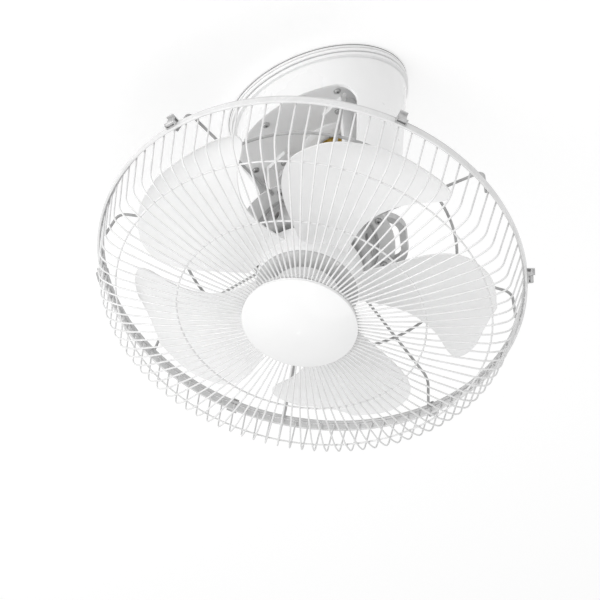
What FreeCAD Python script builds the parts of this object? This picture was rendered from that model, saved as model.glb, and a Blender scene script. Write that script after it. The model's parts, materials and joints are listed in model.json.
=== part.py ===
"""Caged orbit fan that hangs from a ceiling: a fixed ceiling flange and spindle, a leaning hood that
turns about the spindle, and a fan head that tilts between two arms under the hood."""
import math
import os

import FreeCAD
import Part
from FreeCAD import Vector

# Clearances
run_gap = 0.05          # radial clearance of a shaft or pin that turns
seat_gap = 0.02         # clearance of a piece seated on another
move_gap = 0.3          # gap between pieces that move past each other
overrun = 2.0           # how far a cutting tool reaches past what it cuts

# Hood's round top, which the flange and its plate follow
hood_top_r = 97.5
hood_lip_step = 3.0
hood_lip_r = hood_top_r + hood_lip_step
hood_taper = 12.5
hood_low_r = hood_top_r - hood_taper

# Ceiling plate, flange and spindle
flange_step = 2.0
flange_r = hood_lip_r + flange_step
flange_h = 7.0
flange_inset = 25.5
flange_bore_r = hood_top_r - flange_inset
flange_groove_w = 1.6
flange_groove_h = 1.2
plate_lap = 8.0
plate_r = flange_bore_r + plate_lap
plate_t = 3.0
mount_inset = 20.0
mount_pcd = 2 * (plate_r - mount_inset)
mount_count = 4
mount_hole_r = 2.75
cable_hole_r = 9.0
cable_hole_at = 46.0
spindle_r = 9.0
spindle_collar_r = 13.0
spindle_flange_r = 28.0
spindle_flange_t = 5.0
spindle_screw_pcd = 42.0
spindle_screw_count = 4

# Swing drive: fixed sun gear, pinion and the small geared motor that carries it
gear_module = 1.5
sun_teeth = 40
pinion_teeth = 16
gear_t = 6.0
gear_top = 14.0
gear_root_share = 1.25
gear_tip_share = 0.9
pinion_shaft_r = 3.0
swing_motor_r = 25.0
swing_motor_h = 18.0
swing_foot_t = 3.0
swing_foot_w = 11.4
swing_foot_margin = 1.0
ring_core_r = 13.0
ring_band_r = 15.0
ring_band_h = 3.0
ring_pitch = 5.0
ring_count = 3
brush_w = 4.0
brush_l = 8.0
brush_block_w = 12.0
brush_block_l = 16.0

# Hood that leans towards the fan head
hood_gap = 1.0
hood_lip_h = 4.0
hood_neck_h = 2.5
hood_drop = 132.0
hood_lean = 44.0
hood_wall = 3.0
hood_bead_h = 8.0
hood_bead_w = 2.5
mouth_drop = 48.0
mouth_corner_r = 18.0
mouth_half_angle = 75.0
web_t = 4.0
web_ledge_w = 16.0
web_ledge_h = 4.0
web_screw_count = 6
cup_r = 31.0
cup_h = 6.0
cup_rim_h = 1.5
cup_shares = ((0.62, 0.0), (0.86, 0.3), (0.97, 0.6))
bush_wall = 3.0
washer_r = 16.0
washer_t = 1.6
nut_across = 27.0
nut_h = 9.0
nut_chamfer_share = 0.62
capacitor_l = 38.0
capacitor_w = 18.0
capacitor_h = 26.0
capacitor_inset = 39.5
capacitor_at = hood_top_r - capacitor_inset
terminal_l = 30.0
terminal_w = 14.0
terminal_h = 9.0

# Tilting head
tilt = 32.0
pivot_drop = 174.0
pivot_reach = 66.0
rim_ahead = 80.0
arm_t = 4.0
arm_top_w = 40.0
arm_end_r = 16.0
arm_foot_l = 28.0
arm_foot_y = 22.0
pivot_bolt_r = 4.0
pivot_head_across = 13.0
pivot_head_h = 5.5

# Fan motor, measured along the head axis from the rim plane towards the back
motor_r = 57.5
motor_wall = 3.0
motor_front = 26.0
motor_split = 62.0
motor_back = 104.0
motor_edge_r = 8.0
vent_count = 20
vent_w = 7.0
vent_l = 13.0
shoulder_proud = 3.0
shoulder_r = motor_r + shoulder_proud
shoulder_h = 4.0
boss_r = 13.0
boss_proud = 1.0
bearing_r = 11.0
bearing_h = 7.0
bearing_boss_wall = 3.0
shaft_r = 4.0
shaft_window = 3.0
shaft_in_spinner = 8.4
stator_bore_r = 28.0
stator_h = 28.0
winding_in_gap = 3.0
winding_in_r = stator_bore_r + winding_in_gap
winding_out_gap = 4.5
winding_out_r = motor_r - motor_wall - winding_out_gap
winding_h = 8.0
air_gap = 0.5
rotor_ring_in_r = 16.8
rotor_ring_out_r = 25.0
motor_bolt_inset = 15.2
motor_bolt_pcd = 2 * (motor_r - motor_bolt_inset)
motor_bolt_count = 4
gland_r = 6.0
gland_base_r = 9.0
gland_h = 12.0
gland_at = 30.0

# Guard carrier with four looped ears round the motor
ear_count = 4
ear_angle = 45.0
ear_out = 34.5
ear_reach = motor_r + ear_out
ear_half_w = 32.0
ear_strap = 7.0
ear_h = 8.0
ear_corner_r = 20.0
carrier_ring_wall = 5.8
carrier_ring_r = motor_r + carrier_ring_wall

# Guards
rim_r = 216.0
rim_band_t = 2.5
rim_band_h = 8.0
rear_rim_wire_r = 2.0
front_wire_r = 0.9
front_wire_count = 96
front_face = 65.2
front_inner_r = 50.0
front_ring_in_share = 0.5694
front_ring_in_r = rim_r * front_ring_in_share
front_ring_out_inset = 30.0
front_ring_out_r = rim_r - front_ring_out_inset
front_ring_out_depth = 56.0
front_corner_inset = 12.0
front_corner_r = rim_r - front_corner_inset
front_corner_depth = 47.0
front_bend_in_r = 400.0
front_bend_out_r = 50.0
front_bend_corner_r = 15.0
rear_wire_r = 1.5
rear_spoke_count = 8
rear_spoke_angle = 15.0
rear_ring_share = 0.662
rear_ring_r = rim_r * rear_ring_share
rear_corner_inset = 13.0
rear_corner_r = rim_r - rear_corner_inset
rear_corner_back = 38.0
rear_spoke_lap = 6.0
rear_hub_back = 52.0
rear_bend_r = 12.0
rear_hub_gap = 6.5
rear_hub_in_r = motor_r + rear_hub_gap
rear_hub_w = 16.0
rear_hub_out_r = rear_hub_in_r + rear_hub_w
rear_hub_r = rear_hub_out_r - rear_spoke_lap
rear_hub_t = 2.0

# Badge and the plate behind it
badge_r = 57.0
badge_crown = 11.0
badge_edge_h = 3.5
badge_wall = 2.5
badge_plate_r = 56.0
badge_plate_t = 3.0
badge_post_r = 5.0
badge_post_at = 36.0
badge_post_count = 3

# Fan
hub_r = 52.0
hub_front = 23.0
hub_back = 16.0
hub_wall = 2.5
hub_edge_r = 9.0
hub_boss_r = 11.0
blade_count = 5
blade_first_angle = 68.0
blade_tip_gap = 31.2
blade_tip_r = rim_r - blade_tip_gap
blade_root_in = 6.724
blade_root_share = (hub_r - blade_root_in) / blade_tip_r
blade_t = 2.0
blade_forward = 4.0
blade_camber_share = 0.06
spinner_r = 15.0
spinner_h = 14.0
spinner_bore_h = 9.1
spinner_grip_r = 3.0
spinner_grip_count = 8

# Rim clips
clip_count = 6
clip_first_angle = 45.0
clip_w = 8.0
clip_pin_r = 0.9
clip_eye_r = 2.0
clip_ear_t = 1.2
clip_base_t = 1.4
clip_base_h = 5.0
clip_bar_t = 1.5
clip_hook_l = 6.5
clip_tab_l = 3.0

# Screws
screw_r = 2.0
screw_head_r = 3.8
screw_head_h = 2.6
screw_edge_share = 0.4

X_AXIS = Vector(1, 0, 0)
Y_AXIS = Vector(0, 1, 0)
Z_AXIS = Vector(0, 0, 1)
ORIGIN = Vector(0, 0, 0)


def cylinder(radius, low, high, x=0.0, y=0.0):
    """A disc or pillar about a vertical line, between two heights."""
    return Part.makeCylinder(radius, high - low, Vector(x, y, low), Z_AXIS)


def ring(outer, inner, low, high, x=0.0, y=0.0):
    """A tube between two radii and two heights."""
    return cylinder(outer, low, high, x, y).cut(cylinder(inner, low - overrun, high + overrun, x, y))


def box(low, high):
    """A block between two corners."""
    size = Vector(*high) - Vector(*low)
    return Part.makeBox(size.x, size.y, size.z, Vector(*low))


def turned(shape, angle):
    """A copy turned about the vertical axis."""
    copy = shape.copy()
    copy.rotate(ORIGIN, Z_AXIS, angle)
    return copy


def array(shape, count, first=0.0):
    """Copies of one shape, evenly spaced about the vertical axis."""
    return [turned(shape, first + index * 360.0 / count) for index in range(count)]


def hexagon(across, low, high):
    """A hexagonal prism, by its width across the flats."""
    corner = across / 2 / math.cos(math.radians(30))
    points = [Vector(corner * math.cos(math.radians(60 * k)), corner * math.sin(math.radians(60 * k)), low)
              for k in range(7)]
    return Part.Face(Part.makePolygon(points)).extrude(Vector(0, 0, high - low))


def revolve(points):
    """A solid of revolution from (radius, height) points."""
    wire = Part.makePolygon([Vector(r, 0, z) for r, z in points + points[:1]])
    return Part.Face(wire).revolve(ORIGIN, Z_AXIS, 360)


def screw(length):
    """A pan-head screw that points up, with the underside of its head at height zero."""
    head = cylinder(screw_head_r, -screw_head_h, 0)
    low_edges = [e for e in head.Edges if abs(e.BoundBox.ZMax + screw_head_h) < seat_gap]
    head = head.makeFillet(screw_head_h * screw_edge_share, low_edges)
    return head.fuse(cylinder(screw_r, 0, length)).removeSplitter()


def rounded_path(points, radii):
    """Straight runs in a radial plane, through (radius, height) points, joined by tangent arcs."""
    corners = [Vector(r, 0, z) for r, z in points]
    edges = []
    start = corners[0]
    for before, corner, after, radius in zip(corners, corners[1:], corners[2:], radii):
        back = (before - corner).normalize()
        ahead = (after - corner).normalize()
        half = back.getAngle(ahead) / 2
        reach = radius / math.tan(half)
        first = corner + back * reach
        last = corner + ahead * reach
        bisector = (back + ahead).normalize()
        middle = corner + bisector * (radius / math.sin(half) - radius)
        edges.append(Part.LineSegment(start, first).toShape())
        edges.append(Part.Arc(first, middle, last).toShape())
        start = last
    edges.append(Part.LineSegment(start, corners[-1]).toShape())
    return Part.Wire(edges)


def wire_rod(path, radius):
    """A round wire along a path."""
    first = path.OrderedEdges[0]
    start = first.valueAt(first.FirstParameter)
    along = first.tangentAt(first.FirstParameter)
    section = Part.Wire(Part.makeCircle(radius, start, along))
    return path.makePipeShell([section], True, False)


def gear(teeth, low, high, phase):
    """A spur gear with straight-flanked teeth that leave backlash."""
    pitch_r = gear_module * teeth / 2
    root_r = pitch_r - gear_module * gear_root_share
    tip_r = pitch_r + gear_module * gear_tip_share
    step = 360.0 / teeth
    flank_shares = ((root_r, -0.34), (pitch_r, -0.21), (tip_r, -0.10),
                    (tip_r, 0.10), (pitch_r, 0.21), (root_r, 0.34))
    points = []
    for tooth in range(teeth):
        for radius, share in flank_shares:
            angle = math.radians(phase + step * (tooth + share))
            points.append(Vector(radius * math.cos(angle), radius * math.sin(angle), low))
    return Part.Face(Part.makePolygon(points + points[:1])).extrude(Vector(0, 0, high - low))


# Heights below the ceiling that several pieces share
spindle_flange_low = -plate_t - spindle_flange_t
gear_low = -gear_top - gear_t
web_top = -mouth_drop + web_t
cup_low = -mouth_drop - cup_h
washer_top = cup_low - move_gap
nut_top = washer_top - washer_t
nut_low = nut_top - nut_h
swing_at = gear_module * (sun_teeth + pinion_teeth) / 2
swing_top = web_top + swing_motor_h
swing_screw_at = swing_motor_r + screw_head_r + swing_foot_margin
hood_top = -flange_h - hood_gap
cone_top = hood_top - hood_lip_h - hood_neck_h


def ceiling_plate():
    plate = cylinder(plate_r, -plate_t, 0)
    for hole in array(cylinder(mount_hole_r, -plate_t - overrun, overrun, mount_pcd / 2), mount_count, 45.0):
        plate = plate.cut(hole)
    plate = plate.cut(cylinder(cable_hole_r, -plate_t - overrun, overrun, 0, cable_hole_at))
    tapped = cylinder(screw_r + seat_gap, -plate_t - overrun, -plate_t / 3, spindle_screw_pcd / 2)
    for hole in array(tapped, spindle_screw_count):
        plate = plate.cut(hole)
    return plate


def ceiling_flange():
    body = cylinder(flange_r, -flange_h, 0)
    low_edges = [e for e in body.Edges if abs(e.BoundBox.ZMax + flange_h) < seat_gap]
    body = body.makeFillet(flange_h / 4, low_edges)
    body = body.cut(cylinder(flange_bore_r, -flange_h - overrun, overrun))
    body = body.cut(cylinder(plate_r + seat_gap, -plate_t, overrun))
    groove_low = -flange_h / 2 - flange_groove_h
    groove = ring(flange_r + overrun, flange_r - flange_groove_w, groove_low, -flange_h / 2)
    return body.cut(groove)


def spindle():
    body = cylinder(spindle_flange_r, spindle_flange_low, -plate_t)
    body = body.fuse(cylinder(spindle_collar_r, -gear_top, spindle_flange_low))
    body = body.fuse(cylinder(spindle_r, nut_low - overrun, -gear_top)).removeSplitter()
    hole = cylinder(screw_r + seat_gap, spindle_flange_low - overrun, overrun, spindle_screw_pcd / 2)
    for cut in array(hole, spindle_screw_count):
        body = body.cut(cut)
    return body


def spindle_screws():
    one = screw(spindle_flange_t + plate_t / 2)
    one.translate(Vector(spindle_screw_pcd / 2, 0, spindle_flange_low))
    return Part.makeCompound(array(one, spindle_screw_count))


def sun_gear():
    bore = cylinder(spindle_r + seat_gap, gear_low - overrun, -gear_top + overrun)
    return gear(sun_teeth, gear_low, -gear_top, 90.0).cut(bore)


ring_core_low = gear_low - ring_pitch * ring_count


def slip_ring_core():
    return ring(ring_core_r, spindle_r + seat_gap, ring_core_low, gear_low)


def slip_rings():
    shapes = []
    for index in range(ring_count):
        low = ring_core_low + ring_pitch * index + (ring_pitch - ring_band_h) / 2
        shapes.append(ring(ring_band_r, ring_core_r + seat_gap, low, low + ring_band_h))
    return Part.makeCompound(shapes)


def spindle_nut():
    body = hexagon(nut_across, nut_low, nut_top)
    corner = nut_across * nut_chamfer_share
    cone = revolve([(0, nut_low), (nut_across / 2, nut_low), (corner, nut_low + nut_h / 4),
                    (corner, nut_top), (0, nut_top)])
    return body.common(cone).cut(cylinder(spindle_r + seat_gap, nut_low - overrun, nut_top + overrun))


def thrust_washer():
    return ring(washer_r, spindle_r + seat_gap, nut_top, washer_top)


def terminal_block():
    low = (-terminal_l / 2, -cable_hole_at - terminal_w / 2, -plate_t - terminal_h)
    high = (terminal_l / 2, -cable_hole_at + terminal_w / 2, -plate_t)
    block = box(low, high)
    for index in range(ring_count):
        x = low[0] + terminal_l * (index + 0.5) / ring_count
        well = cylinder(terminal_w / 6, low[2] - overrun, low[2] + terminal_h / 2, x, -cable_hole_at)
        block = block.cut(well)
    return block


def hood_axis_y(z):
    """How far the hood's centre has leaned forward at a height."""
    return -hood_lean * (cone_top - z) / (cone_top + hood_drop)


def hood_radius(z):
    """The hood's outer radius at a height."""
    return hood_top_r - (hood_top_r - hood_low_r) * (cone_top - z) / (cone_top + hood_drop)


def hood_cone(inset, low, high):
    """The leaning cone inside the hood's outer wall, between two heights."""
    wires = []
    for z in (low, high):
        circle = Part.makeCircle(hood_radius(z) - inset, Vector(0, hood_axis_y(z), z), Z_AXIS)
        wires.append(Part.Wire(circle))
    return Part.makeLoft(wires, True, True)


def mouth_tool():
    """The open front below the web, with rounded upper corners."""
    edge_share = math.cos(math.radians(mouth_half_angle))
    below = -hood_drop - overrun
    points = []
    for z in (-mouth_drop, below):
        points.append(Vector(0, hood_axis_y(z) - hood_radius(z) * edge_share, z))
    far = hood_axis_y(below) - hood_top_r - overrun
    outline = [Vector(0, far, -mouth_drop), points[0], points[1], Vector(0, far, below)]
    width = 2 * (hood_top_r + overrun)
    tool = Part.Face(Part.makePolygon(outline + outline[:1])).extrude(Vector(width, 0, 0))
    tool.translate(Vector(-width / 2, 0, 0))
    corner = [e for e in tool.Edges if e.BoundBox.XLength > width / 2
              and abs(e.CenterOfMass.z + mouth_drop) < seat_gap
              and abs(e.CenterOfMass.y - points[0].y) < seat_gap]
    return tool.makeFillet(mouth_corner_r, corner)


def web_screw_places():
    """Centres of the screws that hold the web to the hood's ledge."""
    z = web_top
    reach = hood_radius(z) - hood_wall - web_ledge_w / 2
    places = []
    for index in range(web_screw_count):
        angle = math.radians(360.0 * (index + 0.5) / web_screw_count)
        places.append((reach * math.cos(angle), hood_axis_y(z) + reach * math.sin(angle)))
    return places


def hood():
    lip = cylinder(hood_lip_r, hood_top - hood_lip_h, hood_top)
    lip = lip.makeFillet(hood_lip_h / 4, lip.Edges[0:1])
    neck = cylinder(hood_top_r - hood_wall / 2, cone_top, hood_top - hood_lip_h)
    shell = lip.fuse(neck).cut(cylinder(hood_top_r - hood_wall, cone_top - overrun, hood_top + overrun))
    wall = hood_cone(0, -hood_drop, cone_top)
    wall = wall.cut(hood_cone(hood_wall, -hood_drop - overrun, cone_top + overrun))
    ledge_low = web_top + seat_gap
    ledge_high = ledge_low + web_ledge_h
    ledge = hood_cone(hood_wall / 2, ledge_low, ledge_high)
    ledge = ledge.cut(hood_cone(hood_wall + web_ledge_w, ledge_low - overrun, ledge_high + overrun))
    bead_high = -hood_drop + hood_bead_h
    bead = hood_cone(hood_wall / 2, -hood_drop, bead_high)
    bead = bead.cut(hood_cone(hood_wall + hood_bead_w, -hood_drop - overrun, bead_high + overrun))
    shell = shell.fuse([wall, ledge, bead]).cut(mouth_tool())
    motor_room = cylinder(swing_motor_r + move_gap, ledge_low - overrun, ledge_high + overrun, 0, swing_at)
    shell = shell.cut(motor_room)
    for x, y in web_screw_places():
        shell = shell.cut(cylinder(screw_r + seat_gap, ledge_low - overrun, ledge_high + overrun, x, y))
    return shell.removeSplitter()


def arm_foot_places():
    """Centres of the screws in the arms' feet, for both arms."""
    x = arm_in_x - arm_foot_l / 2
    y_low = -arm_foot_y - arm_top_w / 4
    y_high = -arm_foot_y + arm_top_w / 4
    return [(side * x, y) for side in (-1, 1) for y in (y_low, y_high)]


def bearing_web():
    web = hood_cone(hood_wall + seat_gap, -mouth_drop, web_top)
    web = web.cut(cylinder(spindle_r + bush_wall, -mouth_drop - overrun, web_top + overrun))
    for x, y in web_screw_places() + arm_foot_places():
        web = web.cut(cylinder(screw_r + seat_gap, -mouth_drop - overrun, web_top + overrun, x, y))
    for x in (-swing_screw_at, swing_screw_at):
        web = web.cut(cylinder(screw_r + seat_gap, -mouth_drop - overrun, web_top + overrun, x, swing_at))
    return web


def web_screws():
    shapes = []
    for x, y in web_screw_places():
        one = screw(web_t + web_ledge_h)
        one.translate(Vector(x, y, -mouth_drop))
        shapes.append(one)
    return Part.makeCompound(shapes)


def bearing_cup():
    low_r = spindle_r + bush_wall
    side = [(cup_r * out_share, cup_low + cup_h * up_share) for out_share, up_share in cup_shares]
    rim = [(cup_r, -mouth_drop - cup_rim_h), (cup_r, -mouth_drop), (low_r, -mouth_drop)]
    return revolve([(low_r, cup_low)] + side + rim)


def spindle_bush():
    return ring(spindle_r + bush_wall - seat_gap, spindle_r + run_gap, cup_low, web_top)


def swing_motor():
    body = cylinder(swing_motor_r, web_top, swing_top, 0, swing_at)
    top = [e for e in body.Edges if abs(e.BoundBox.ZMin - swing_top) < seat_gap]
    body = body.makeFillet(swing_foot_t / 2, top)
    reach = swing_screw_at + screw_head_r + swing_foot_margin
    foot = box((-reach, swing_at - swing_foot_w / 2, web_top),
               (reach, swing_at + swing_foot_w / 2, web_top + swing_foot_t))
    body = body.fuse(foot)
    for x in (-swing_screw_at, swing_screw_at):
        body = body.cut(cylinder(screw_r + seat_gap, web_top - overrun, swing_top, x, swing_at))
    bore_low = swing_top - swing_motor_h / 2
    return body.cut(cylinder(pinion_shaft_r + run_gap, bore_low, swing_top + overrun, 0, swing_at))


def swing_motor_screws():
    shapes = []
    for x in (-swing_screw_at, swing_screw_at):
        one = screw(web_t + swing_foot_t)
        one.rotate(ORIGIN, X_AXIS, 180)
        one.translate(Vector(x, swing_at, web_top + swing_foot_t))
        shapes.append(one)
    return Part.makeCompound(shapes)


def drive_pinion():
    phase = 270.0 + 180.0 / pinion_teeth
    body = gear(pinion_teeth, gear_low, -gear_top, phase)
    shaft = cylinder(pinion_shaft_r, swing_top - swing_motor_h / 2 + move_gap, -gear_top)
    body = body.fuse(shaft).removeSplitter()
    body.translate(Vector(0, swing_at, 0))
    return body


def brush_block():
    face = ring_band_r + brush_l / 2
    block = box((-face - brush_block_l, -brush_block_w / 2, web_top),
                (-face, brush_block_w / 2, gear_low - move_gap))
    for z in brush_heights():
        slot = box((-face - brush_block_l / 2, -brush_w / 2 - seat_gap, z - ring_band_h / 2 - seat_gap),
                   (-face + overrun, brush_w / 2 + seat_gap, z + ring_band_h / 2 + seat_gap))
        block = block.cut(slot)
    return block


def brush_heights():
    return [ring_core_low + ring_pitch * (index + 0.5) for index in range(ring_count)]


def brushes():
    shapes = []
    tip = ring_band_r + move_gap
    for z in brush_heights():
        bar = box((-tip - brush_l, -brush_w / 2, z - ring_band_h / 2),
                  (-ring_core_r, brush_w / 2, z + ring_band_h / 2))
        shapes.append(bar.cut(cylinder(tip, z - ring_pitch, z + ring_pitch)))
    return Part.makeCompound(shapes)


def run_capacitor():
    low = (capacitor_at - capacitor_w / 2, -capacitor_l / 2, web_top)
    high = (capacitor_at + capacitor_w / 2, capacitor_l / 2, web_top + capacitor_h)
    body = box(low, high)
    return body.makeFillet(capacitor_w / 9, [e for e in body.Edges if e.BoundBox.ZLength > capacitor_h / 2])


boss_face = shoulder_r + boss_proud
arm_in_x = boss_face + move_gap
arm_out_x = arm_in_x + arm_t


def yoke_arm(side):
    """One steel arm, from a foot under the web down to the tilt pivot."""
    top = Vector(0, -arm_foot_y, -mouth_drop)
    end = Vector(0, -pivot_reach, -pivot_drop)
    across = (end - top).normalize().cross(X_AXIS)
    outline = [top + Y_AXIS * (arm_top_w / 2), top - Y_AXIS * (arm_top_w / 2)]
    outline += sorted([end + across * arm_end_r, end - across * arm_end_r], key=lambda point: point.y)
    blade = Part.Face(Part.makePolygon(outline + outline[:1])).extrude(Vector(arm_t, 0, 0))
    blade = blade.fuse(Part.makeCylinder(arm_end_r, arm_t, end, X_AXIS))
    blade.translate(Vector(arm_in_x, 0, 0))
    foot = box((arm_in_x - arm_foot_l, -arm_foot_y - arm_top_w / 2, -mouth_drop - arm_t),
               (arm_out_x, -arm_foot_y + arm_top_w / 2, -mouth_drop))
    hole_start = Vector(arm_in_x - arm_t, end.y, end.z)
    hole = Part.makeCylinder(pivot_bolt_r + run_gap, arm_out_x, hole_start, X_AXIS)
    arm = blade.fuse(foot).removeSplitter().cut(hole)
    for x, y in arm_foot_places():
        arm = arm.cut(cylinder(screw_r + seat_gap, -mouth_drop - arm_t - overrun, overrun, x, y))
    if side < 0:
        arm = arm.mirror(ORIGIN, X_AXIS)
    return arm


def yoke_screws():
    shapes = []
    for x, y in arm_foot_places():
        one = screw(arm_t + web_t)
        one.translate(Vector(x, y, -mouth_drop - arm_t))
        shapes.append(one)
    return Part.makeCompound(shapes)


def place_head(shape):
    """Move a piece from the head's own frame, rim plane at height zero and facing down, to its place."""
    placed = shape.copy()
    placed.translate(Vector(0, 0, -rim_ahead))
    placed.rotate(ORIGIN, X_AXIS, -tilt)
    placed.translate(Vector(0, -pivot_reach, -pivot_drop))
    return placed


def vent_slots(low):
    """Leaf-shaped slots round the motor's wall, in a ring that starts at a height."""
    tip = Vector(motor_r, 0, low)
    end = Vector(motor_r, 0, low + vent_l)
    bulge = vent_w / 2
    middle = low + vent_l / 2
    sides = [Part.Arc(tip, Vector(motor_r, bulge, middle), end).toShape(),
             Part.Arc(end, Vector(motor_r, -bulge, middle), tip).toShape()]
    leaf = Part.Face(Part.Wire(sides)).extrude(Vector(-2 * motor_wall, 0, 0))
    leaf.translate(Vector(motor_wall / 2, 0, 0))
    return array(leaf, vent_count, 180.0 / vent_count)


def face_slots(height, thick):
    """Curved-ended slots in the motor's end face."""
    inner = bearing_r + bearing_boss_wall + vent_w / 2
    outer = motor_r - motor_edge_r - motor_wall
    start, end = Vector(inner, 0, height), Vector(outer, 0, height)
    middle = (start + end) * 0.5
    bulge = Y_AXIS * (vent_w / 2)
    sides = [Part.Arc(start, middle + bulge, end).toShape(), Part.Arc(end, middle - bulge, start).toShape()]
    leaf = Part.Face(Part.Wire(sides)).extrude(Vector(0, 0, thick))
    return array(leaf, vent_count // 2)


def motor_cup(closed_end, open_end):
    """One half of the motor's casing: a cup with a bearing seat in its closed end."""
    low, high = sorted((closed_end, open_end))
    toward = 1 if open_end > closed_end else -1
    body = cylinder(motor_r, low, high)
    end_edges = [e for e in body.Edges if abs(e.BoundBox.ZMin - closed_end) < seat_gap
                 and e.BoundBox.ZLength < seat_gap]
    body = body.makeFillet(motor_edge_r, end_edges)
    floor = closed_end + toward * motor_wall
    hollow_low, hollow_high = sorted((floor, open_end + toward * overrun))
    hollow = cylinder(motor_r - motor_wall, hollow_low, hollow_high)
    floor_edges = [e for e in hollow.Edges if abs(e.BoundBox.ZMin - floor) < seat_gap
                   and e.BoundBox.ZLength < seat_gap]
    body = body.cut(hollow.makeFillet(motor_edge_r - motor_wall, floor_edges))
    seat_end = floor + toward * bearing_h
    seat_low, seat_high = sorted((closed_end + toward * motor_wall / 2, seat_end))
    body = body.fuse(ring(bearing_r + bearing_boss_wall, bearing_r + seat_gap, seat_low, seat_high))
    bore_low, bore_high = sorted((closed_end - toward * overrun, seat_end))
    body = body.cut(cylinder(shaft_r + shaft_window, bore_low, bore_high))
    slots_low = closed_end - overrun if toward > 0 else floor - overrun
    for slot in face_slots(slots_low, motor_wall + 2 * overrun):
        body = body.cut(slot)
    return body


def motor_front_housing():
    body = motor_cup(motor_front, motor_split)
    shoulder_top = ear_low - seat_gap
    shoulder = ring(shoulder_r, motor_r - motor_wall / 2, shoulder_top - shoulder_h, shoulder_top)
    body = body.fuse(shoulder)
    for slot in vent_slots(motor_front + motor_edge_r):
        body = body.cut(slot)
    return body.removeSplitter()


def motor_rear_housing():
    body = motor_cup(motor_back, motor_split + seat_gap)
    for side in (-1, 1):
        start = Vector(motor_r - motor_wall, 0, rim_ahead)
        boss = Part.makeCylinder(boss_r, boss_face - start.x, start, X_AXIS)
        boss = boss.cut(cylinder(motor_r - motor_wall, rim_ahead - 2 * boss_r, rim_ahead + 2 * boss_r))
        hole = Part.makeCylinder(pivot_bolt_r + seat_gap, motor_r, Vector(motor_r / 2, 0, rim_ahead), X_AXIS)
        if side < 0:
            boss = boss.mirror(ORIGIN, X_AXIS)
            hole = hole.mirror(ORIGIN, X_AXIS)
        body = body.fuse(boss).cut(hole)
    slot_low = motor_back - motor_edge_r - vent_l
    for slot in vent_slots(slot_low):
        if abs(slot.CenterOfMass.y) > boss_r + vent_w:
            body = body.cut(slot)
    low, high = motor_back - motor_wall - overrun, motor_back + overrun
    bolt_hole = cylinder(screw_r + seat_gap, low, high, motor_bolt_pcd / 2)
    for hole in array(bolt_hole, motor_bolt_count, ear_angle):
        body = body.cut(hole)
    body = body.cut(cylinder(gland_r + seat_gap, low, high, 0, gland_at))
    return body.removeSplitter()


bearing_front_low = motor_front + motor_wall
bearing_rear_high = motor_back - motor_wall
stator_low = motor_split - stator_h / 2
stator_high = motor_split + stator_h / 2


def motor_bearing(low):
    return ring(bearing_r, shaft_r + run_gap, low, low + bearing_h)


def stator_core():
    return ring(motor_r - motor_wall - seat_gap, stator_bore_r, stator_low, stator_high)


def stator_windings():
    shapes = [ring(winding_out_r, winding_in_r, stator_low - winding_h, stator_low),
              ring(winding_out_r, winding_in_r, stator_high, stator_high + winding_h)]
    rounded = []
    for shape in shapes:
        rounded.append(shape.makeFillet(winding_h / 4, [e for e in shape.Edges if e.Length > winding_out_r]))
    return Part.makeCompound(rounded)


def motor_screws():
    one = screw(2 * motor_wall)
    one.rotate(ORIGIN, X_AXIS, 180)
    one.translate(Vector(motor_bolt_pcd / 2, 0, motor_back))
    return Part.makeCompound(array(one, motor_bolt_count, ear_angle))


def cable_gland():
    low = motor_back - motor_wall
    stem = cylinder(gland_r, low, motor_back, 0, gland_at)
    cone = Part.makeCone(gland_base_r, gland_r, gland_h, Vector(0, gland_at, motor_back), Z_AXIS)
    bore = cylinder(gland_r / 2, low - overrun, motor_back + gland_h + overrun, 0, gland_at)
    return stem.fuse(cone).cut(bore).removeSplitter()


def pivot_bolts():
    inner = motor_r - motor_wall - seat_gap
    head_x = arm_out_x + move_gap
    shank = Part.makeCylinder(pivot_bolt_r, head_x - inner, Vector(inner, 0, 0), X_AXIS)
    head = hexagon(pivot_head_across, 0, pivot_head_h)
    head.rotate(ORIGIN, Y_AXIS, 90)
    head.translate(Vector(head_x, 0, 0))
    bolt = shank.fuse(head).removeSplitter()
    bolt.translate(Vector(0, 0, rim_ahead))
    return Part.makeCompound([bolt, bolt.mirror(ORIGIN, X_AXIS)])


rear_hub_low = rear_hub_back + rear_wire_r + move_gap / 2
ear_low = rear_hub_low + rear_hub_t + seat_gap


def upright_edges(block, x):
    """The upright edges of a block at one distance out."""
    upright = [e for e in block.Edges if e.BoundBox.ZLength > ear_h / 2]
    return [e for e in upright if abs(e.CenterOfMass.x - x) < seat_gap]


def guard_carrier():
    ear_high = ear_low + ear_h
    plate = box((motor_r / 2, -ear_half_w, ear_low), (ear_reach, ear_half_w, ear_high))
    plate = plate.makeFillet(ear_corner_r, upright_edges(plate, ear_reach))
    window_end = ear_reach - ear_strap
    window = box((motor_r / 2 - overrun, -ear_half_w + ear_strap, ear_low - overrun),
                 (window_end, ear_half_w - ear_strap, ear_high + overrun))
    plate = plate.cut(window.makeFillet(ear_corner_r - ear_strap, upright_edges(window, window_end)))
    body = cylinder(carrier_ring_r, ear_low, ear_high).fuse(array(plate, ear_count, ear_angle))
    body = body.cut(cylinder(motor_r + seat_gap, ear_low - overrun, ear_high + overrun))
    tapped = cylinder(screw_r + seat_gap, ear_low - overrun, ear_low + ear_h / 2 + overrun)
    for hole in ear_screw_array(tapped):
        body = body.cut(hole)
    return body.removeSplitter()


def ear_screw_place():
    """Where a screw goes up into one leg of an ear, from the ear's centre line."""
    y = ear_half_w - ear_strap / 2
    return math.sqrt(((rear_hub_in_r + rear_hub_out_r) / 2) ** 2 - y ** 2), y


def ear_screw_array(shape):
    """Copies of a shape that stands on the head axis, at both legs of each ear."""
    shapes = []
    x, y = ear_screw_place()
    for side in (-y, y):
        leg = shape.copy()
        leg.translate(Vector(x, side, 0))
        shapes += array(leg, ear_count, ear_angle)
    return shapes


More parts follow.
